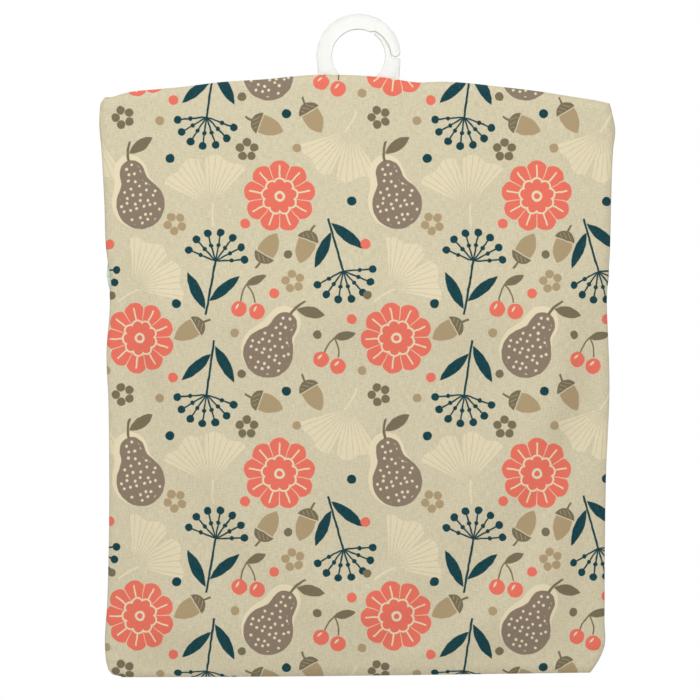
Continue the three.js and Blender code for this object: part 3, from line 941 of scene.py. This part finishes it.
def sewn_panel(name, panel, u, v):
    """A panel of cloth over a grid of places, as a closed shell with its own flat coordinates."""
    side = panel.side
    middle = panel.place(u, v)
    normal = grid_normals(middle)
    normal *= np.sign(normal[..., 1:2].mean() * side)
    shape = u.shape
    points = np.concatenate([(middle + normal * CLOTH / 2).reshape(-1, 3),
                             (middle - normal * CLOTH / 2).reshape(-1, 3)])
    size = u.size
    faces = np.concatenate([grid_faces(*shape, 0, side > 0), grid_faces(*shape, size, side < 0)])
    # A strip all round joins the two faces.
    index = np.arange(size).reshape(shape)
    loop = np.concatenate([index[:, 0], index[-1, 1:], index[-2::-1, -1], index[0, -2:0:-1]])
    after = np.roll(loop, -1)
    rim = np.stack([loop, loop + size, after + size, after], axis=1)
    if side > 0:
        rim = rim[:, ::-1]
    piece = new_piece(name, points, np.concatenate([faces, rim]), printed_cotton, cotton_reverse)
    inside = np.zeros(len(faces) + len(rim), np.int32)
    inside[len(faces) // 2:len(faces)] = 1
    piece.data.polygons.foreach_set("material_index", inside)
    # The print follows the length of the cloth itself, measured along the panel's middle lines.
    across, up = PRINT_SHIFT[side]
    x, y, z = np.moveaxis(middle, -1, 0)
    half_u, half_v = shape[0] // 2, shape[1] // 2
    flat_x = x + extra_length(x[:, half_v], y[:, half_v])[:, None]
    flat_z = z + extra_length(z[half_u], y[half_u])
    flat = np.tile(np.stack([across - side * flat_x, up + flat_z], axis=-1).reshape(-1, 2), (2, 1))
    corners = np.zeros(len(piece.data.loops), np.int32)
    piece.data.loops.foreach_get("vertex_index", corners)
    layer = piece.data.uv_layers.new(name="cloth")
    layer.data.foreach_set("uv", flat[corners].astype(np.float32).ravel())
    piece.data.shade_smooth()
    return piece


def foot_edge(u):
    return 0 * u


def top_edge(u):
    return 0 * u + 1


columns = both_ends_close(round(2 * MEAN_HALF / MESH_STEP)) * 2 - 1
back_rows = both_ends_close(round(MEAN_HEIGHT / MESH_STEP))
back_u, back_v = np.meshgrid(columns, back_rows, indexing="ij")
back_panel = Panel(-1, foot_edge, top_edge)
back = sewn_panel("back_cloth", back_panel, back_u, back_v)
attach(back, "bag")
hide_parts("back_panel")

# The front is cut in two, so that the bag has a mouth to reach the pegs through. The yoke hangs from the
# shoulders, and its lower lip arches a little.
MOUTH_Z = -145.6
MOUTH_END_GAP = 2.1  # between the two lips at the side seams
YOKE_ARCH = 9
YOKE_ROWS = 53


def height_share(u, z):
    """How far up the bag a height lies, from 0 at the foot to 1 at the top edge."""
    across = u * MEAN_HALF
    return (z - foot_seam(across)) / (top_seam(across) - foot_seam(across))


def yoke_lip(u):
    return height_share(u, MOUTH_Z + MOUTH_END_GAP + YOKE_ARCH * (1 - u * u))


yoke_u, yoke_share = np.meshgrid(columns, 1 - low_end_close(YOKE_ROWS)[::-1], indexing="ij")
yoke_panel = Panel(1, yoke_lip, top_edge)
yoke = sewn_panel("yoke_cloth", yoke_panel, yoke_u, mix(yoke_lip(yoke_u), 1, yoke_share))
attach(yoke, "bag")
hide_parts("front_yoke")

# The pocket is the lower part of the front, with a deep scooped lip. It is sewn in at the sides and foot,
# so when the lip is drawn open the cloth below follows it, less and less down to the belly. How far each
# point would follow is worked out below but not used, so the lip stays shut.
POCKET_SCOOP = 40
POCKET_ROWS = 122
TAPE_WIDTH = 8
PULL_REACH = 118  # how far below the lip the cloth still follows it at the middle
PULL_AT_SIDE = 12
SEAM_HOLD = 0.08  # share of the half width over which the side seam lets go of the lip


def pocket_lip(u):
    return height_share(u, MOUTH_Z - POCKET_SCOOP * (1 - u * u))


def lip_follow(u, below):
    """How far a point this far below the pocket's lip goes with it, from 0 to 1."""
    reach = mix(PULL_AT_SIDE, PULL_REACH, 1 - u * u)
    return ease((1 - np.abs(u)) / SEAM_HOLD) * ease(1 - (below - TAPE_WIDTH) / reach)


pocket_u, pocket_share = np.meshgrid(columns, low_end_close(POCKET_ROWS), indexing="ij")
pocket_v = pocket_lip(pocket_u) * pocket_share
pocket_panel = Panel(1, foot_edge, pocket_lip)
pocket = sewn_panel("pocket_cloth", pocket_panel, pocket_u, pocket_v)
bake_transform(pocket)
pull = lip_follow(pocket_u, (pocket_lip(pocket_u) - pocket_v) * MEAN_HEIGHT)
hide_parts("front_pocket")

# Both lips are bound with mint cotton tape, folded once along its length over the raw edge. Its ends are
# caught in the side seams and stand a little proud of them, most on the left.
TAPE_THICK = 0.58
TAPE_OUT = 0.92  # from the middle of the cloth to the face of the tape
TAPE_STEPS = 220
TAPE_PROUD = (1.9, 0.4)  # how far the left and the right end stand out of the seam, at the lip
TAPE_WAVE = 0.12
TAPE_WAVE_TURN = 61  # radians of that wave over half the bag's width
RIB_PITCH = 0.7
# Painted shade: the tape's colour darkens into the grooves between its ribs.
RIB_GROOVE_SHADE = 0.12
FUZZ_RISE = 2  # of the tape's uneven threads, beside the rise of its ribs
TAPE_ROUGHNESS = (0.75, 0.95)
MINT = paint(208, 227, 214)
MINT_SHADE = paint(195, 216, 203)


def tube_faces(rings, sides):
    """Faces of a tube whose rings of points follow one another, closed at both ends."""
    k = np.arange(rings - 1)[:, None] * sides
    j = np.arange(sides)
    after = (j + 1) % sides
    around = np.stack([k + j, k + after, k + sides + after, k + sides + j], axis=-1).reshape(-1, 4)
    ends = [list(range(sides))[::-1], list(range((rings - 1) * sides, rings * sides))]
    return [list(face) for face in around] + ends


def tape_outline(leg_points=5, turn_points=9):
    """The section of the folded tape: into the cloth from the lip, and out from the middle of the cloth."""
    under = TAPE_OUT - TAPE_THICK
    leg = np.linspace(TAPE_WIDTH, 0, leg_points)
    turn = np.linspace(0, math.pi, turn_points)[1:-1]
    outside = [(p, TAPE_OUT) for p in leg]
    outside += [(-TAPE_OUT * math.sin(a), TAPE_OUT * math.cos(a)) for a in turn]
    outside += [(p, -TAPE_OUT) for p in leg[::-1]]
    inside = [(p, -under) for p in leg]
    inside += [(-under * math.sin(a), -under * math.cos(a)) for a in turn]
    inside += [(p, under) for p in leg[::-1]]
    return np.array(outside + inside)


def woven_tape():
    """Mint cotton tape with a fine rib across it."""
    material, tree, shader = new_material(
        "mint_tape", Sheen_Weight=0.15, Sheen_Roughness=0.5, Specular_IOR_Level=0.2)
    place = tree.node("TexCoord", output="Object")
    x, _ = place.parts()
    fine = place.noise(scale=900.0, detail=2.0)
    rib = (x * (2 * math.pi / RIB_PITCH / MM)).math("SINE")
    # The tint varies at random with the fine noise, and it darkens into the rib grooves, which is painted
    # shade.
    tint = tree.mix(fine + rib * RIB_GROOVE_SHADE, MINT_SHADE, MINT)
    rise = rib + fine * FUZZ_RISE
    surface(tree, shader, tint, mix(*TAPE_ROUGHNESS, fine), rise, strength=0.4, depth=0.1)
    return material


mint_tape = woven_tape()


def lip_tape(name, panel, lip, into):
    """Tape along a lip of a panel, whose cloth lies above the lip (1) or below it (-1)."""
    section = tape_outline()
    along = np.linspace(-1, 1, TAPE_STEPS)[:, None]
    proud = np.where(along < 0, *TAPE_PROUD) * (1 - section[:, 0] / TAPE_WIDTH)
    u = along * (1 + proud / MEAN_HALF)
    wave = TAPE_WAVE * np.sin(u * TAPE_WAVE_TURN) * section[:, 0] / TAPE_WIDTH
    v = lip(u) + into * (section[:, 0] + wave) / MEAN_HEIGHT
    points = panel.place(u, v, section[:, 1])
    piece = new_piece(name, points.reshape(-1, 3), tube_faces(TAPE_STEPS, len(section)), mint_tape)
    piece.data.shade_smooth()
    piece.data.set_sharp_from_angle(angle=math.radians(50))
    return piece, u.ravel()


yoke_tape, _ = lip_tape("yoke_tape", yoke_panel, yoke_lip, 1)
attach(yoke_tape, "bag")
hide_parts("yoke_binding")

pocket_tape, pocket_tape_u = lip_tape("pocket_tape", pocket_panel, pocket_lip, -1)
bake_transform(pocket_tape)
lip_follow(pocket_tape_u, 0)
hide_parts("pocket_binding")

# Each tape is sewn down with one row of straight machine stitches near its edge, in pale thread. A stitch
# is a short length of round thread that dips into the tape at both ends, and it shows on both faces.
STITCH_INSET = 1.6
STITCH_PITCH = 2.9
STITCH_LENGTH = 2.3
STITCH_R = 0.2
STITCH_SHAPE = [(-0.5, 0.35, -0.2), (-0.42, 0.8, 0.0), (-0.2, 1.0, 0.12),
                (0.2, 1.0, 0.12), (0.42, 0.8, 0.0), (0.5, 0.35, -0.2)]  # along, thickness and rise
THREAD_SIDES = 6
OFF_PATH = (0.0, 1.0, 0.2)  # a way that no thread keeps to
THREAD_ROUGHNESS = (0.6, 0.85)
THREAD_COLOUR = paint(222, 230, 216)
THREAD_SHADE = paint(198, 212, 199)


def spun_thread(name, light, dark):
    """Cotton thread, finely uneven from its twist."""
    material, tree, shader = new_material(name, Sheen_Weight=0.1, Sheen_Roughness=0.4)
    twist = tree.node("TexCoord", output="Object").noise(scale=2600.0, detail=1.0)
    tint = tree.mix(twist, dark, light)
    surface(tree, shader, tint, mix(*THREAD_ROUGHNESS, twist), twist, strength=0.3, depth=0.08)
    return material


stitch_thread = spun_thread("stitch_thread", THREAD_COLOUR, THREAD_SHADE)


def thread_tube(path, radius, sides):
    """Points of a round thread along a path, ring by ring. The radius may differ along it."""
    along = np.gradient(path, axis=0)
    along /= np.linalg.norm(along, axis=1, keepdims=True)
    aside = np.cross(along, OFF_PATH)
    aside /= np.linalg.norm(aside, axis=1, keepdims=True)
    up = np.cross(aside, along)
    angles = np.arange(sides) * 2 * np.pi / sides
    ring = np.cos(angles)[:, None] * aside[:, None] + np.sin(angles)[:, None] * up[:, None]
    return (path[:, None] + np.reshape(radius, (-1, 1, 1)) * ring).reshape(-1, 3)


def stitch_row(name, panel, lip, into):
    """A row of stitches on a lip's tape, and where across the bag each of their points lies."""
    along, thick, rise = np.array(STITCH_SHAPE).T
    inset = into * (TAPE_WIDTH - STITCH_INSET) / MEAN_HEIGHT
    middles = np.arange(-MEAN_HALF + STITCH_PITCH, MEAN_HALF - STITCH_PITCH, STITCH_PITCH)
    rings = len(STITCH_SHAPE)
    points, faces, across = [], [], []
    for face in (1, -1):
        for middle in middles:
            u = (middle + along * STITCH_LENGTH) / MEAN_HALF
            path = panel.place(u, lip(u) + inset, face * (TAPE_OUT + rise))
            first = len(points) * rings * THREAD_SIDES
            faces += [[first + corner for corner in f] for f in tube_faces(rings, THREAD_SIDES)]
            points.append(thread_tube(path, STITCH_R * thick, THREAD_SIDES))
            across.append(np.repeat(u, THREAD_SIDES))
    piece = new_piece(name, np.concatenate(points), faces, stitch_thread)
    piece.data.shade_smooth()
    return piece, np.concatenate(across)


yoke_stitches, _ = stitch_row("yoke_stitches", yoke_panel, yoke_lip, 1)
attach(yoke_stitches, "bag")
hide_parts("yoke_stitching")

pocket_stitches, stitch_u = stitch_row("pocket_stitches", pocket_panel, pocket_lip, -1)
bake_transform(pocket_stitches)
lip_follow(stitch_u, 0)
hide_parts("pocket_stitching")

# Inside the bag each seam has a narrow turning: the two raw edges laid together, pressed towards the back
# and overlocked with loops of cream thread that wrap round the edge.
TURNING_THICK = 0.8
TURNING_MIDDLE = -1.0  # out from the middle of the back cloth, so into the bag
TURNING_WIDTH = 4.5
TURNING_SHAPE = [(0, -0.5), (0.5, -0.5), (1, -0.35), (1, 0.35), (0.5, 0.5), (0, 0.5)]  # its section
TURNING_STEP = 3
SIDE_TURNING = {"setback": 1.2, "start": 0.05, "end": 0.955, "length": 310}
SHOULDER_TURNING = {"setback": 3.0, "start": 0.275, "end": 0.93, "length": 97}
FOOT_TURNING = {"setback": 1.8, "start": -0.89, "end": 0.89, "length": 258}
LOOP_PITCH = 2.2
LOOP_HALF_WIDTH = 1.9
LOOP_HALF_THICK = 0.55
LOOP_OVERHANG = 0.25
LOOP_R = 0.15
LOOP_STEPS = 10
LOOP_SIDES = 5
OVERLOCK = paint(228, 222, 204)
OVERLOCK_SHADE = paint(206, 199, 178)
overlock_thread = spun_thread("overlock_thread", OVERLOCK, OVERLOCK_SHADE)


def along_side(hand):
    return lambda inset, t: (hand * (1 - inset / MEAN_HALF) + 0 * t, t + 0 * inset)


def along_foot(inset, t):
    return t + 0 * inset, inset / MEAN_HEIGHT + 0 * t


def along_shoulder(hand):
    return lambda inset, t: (hand * t + 0 * inset, 1 - inset / MEAN_HEIGHT + 0 * t)


def seam_turning(name, node, place, setback, start, end, length):
    """An overlocked turning of that length, from start to end of a seam and set back from it."""
    section = np.array(TURNING_SHAPE)
    inset = setback + section[:, 0] * TURNING_WIDTH
    t = np.linspace(start, end, round(length / TURNING_STEP))[:, None]
    out = TURNING_MIDDLE + section[:, 1] * TURNING_THICK + 0 * t
    strip = back_panel.place(*place(inset, t), out).reshape(-1, 3)
    strip_faces = tube_faces(len(t), len(section))
    turns = round(length / LOOP_PITCH)
    angle = np.linspace(0, 2 * np.pi * turns, turns * LOOP_STEPS)
    loop_middle = setback + TURNING_WIDTH - LOOP_HALF_WIDTH + LOOP_OVERHANG
    loop_inset = loop_middle + LOOP_HALF_WIDTH * np.cos(angle)
    loop_t = np.linspace(start, end, len(angle))
    loop_out = TURNING_MIDDLE + LOOP_HALF_THICK * np.sin(angle)
    loop_path = back_panel.place(*place(loop_inset, loop_t), loop_out)
    loops = thread_tube(loop_path, LOOP_R, LOOP_SIDES)
    loop_faces = tube_faces(len(angle), LOOP_SIDES)
    loop_faces = [[corner + len(strip) for corner in face] for face in loop_faces]
    points = np.concatenate([strip, loops])
    piece = new_piece(name, points, strip_faces + loop_faces, overlock_thread)
    piece.data.shade_smooth()
    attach(piece, "bag")
    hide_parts(node)


for hand, word in ((-1, "left"), (1, "right")):
    seam_turning(word + "_side_overlock", word + "_side_turning", along_side(hand), **SIDE_TURNING)
    seam_turning(word + "_shoulder_overlock", word + "_shoulder_turning", along_shoulder(hand),
                 **SHOULDER_TURNING)
seam_turning("foot_overlock", "foot_turning", along_foot, **FOOT_TURNING)
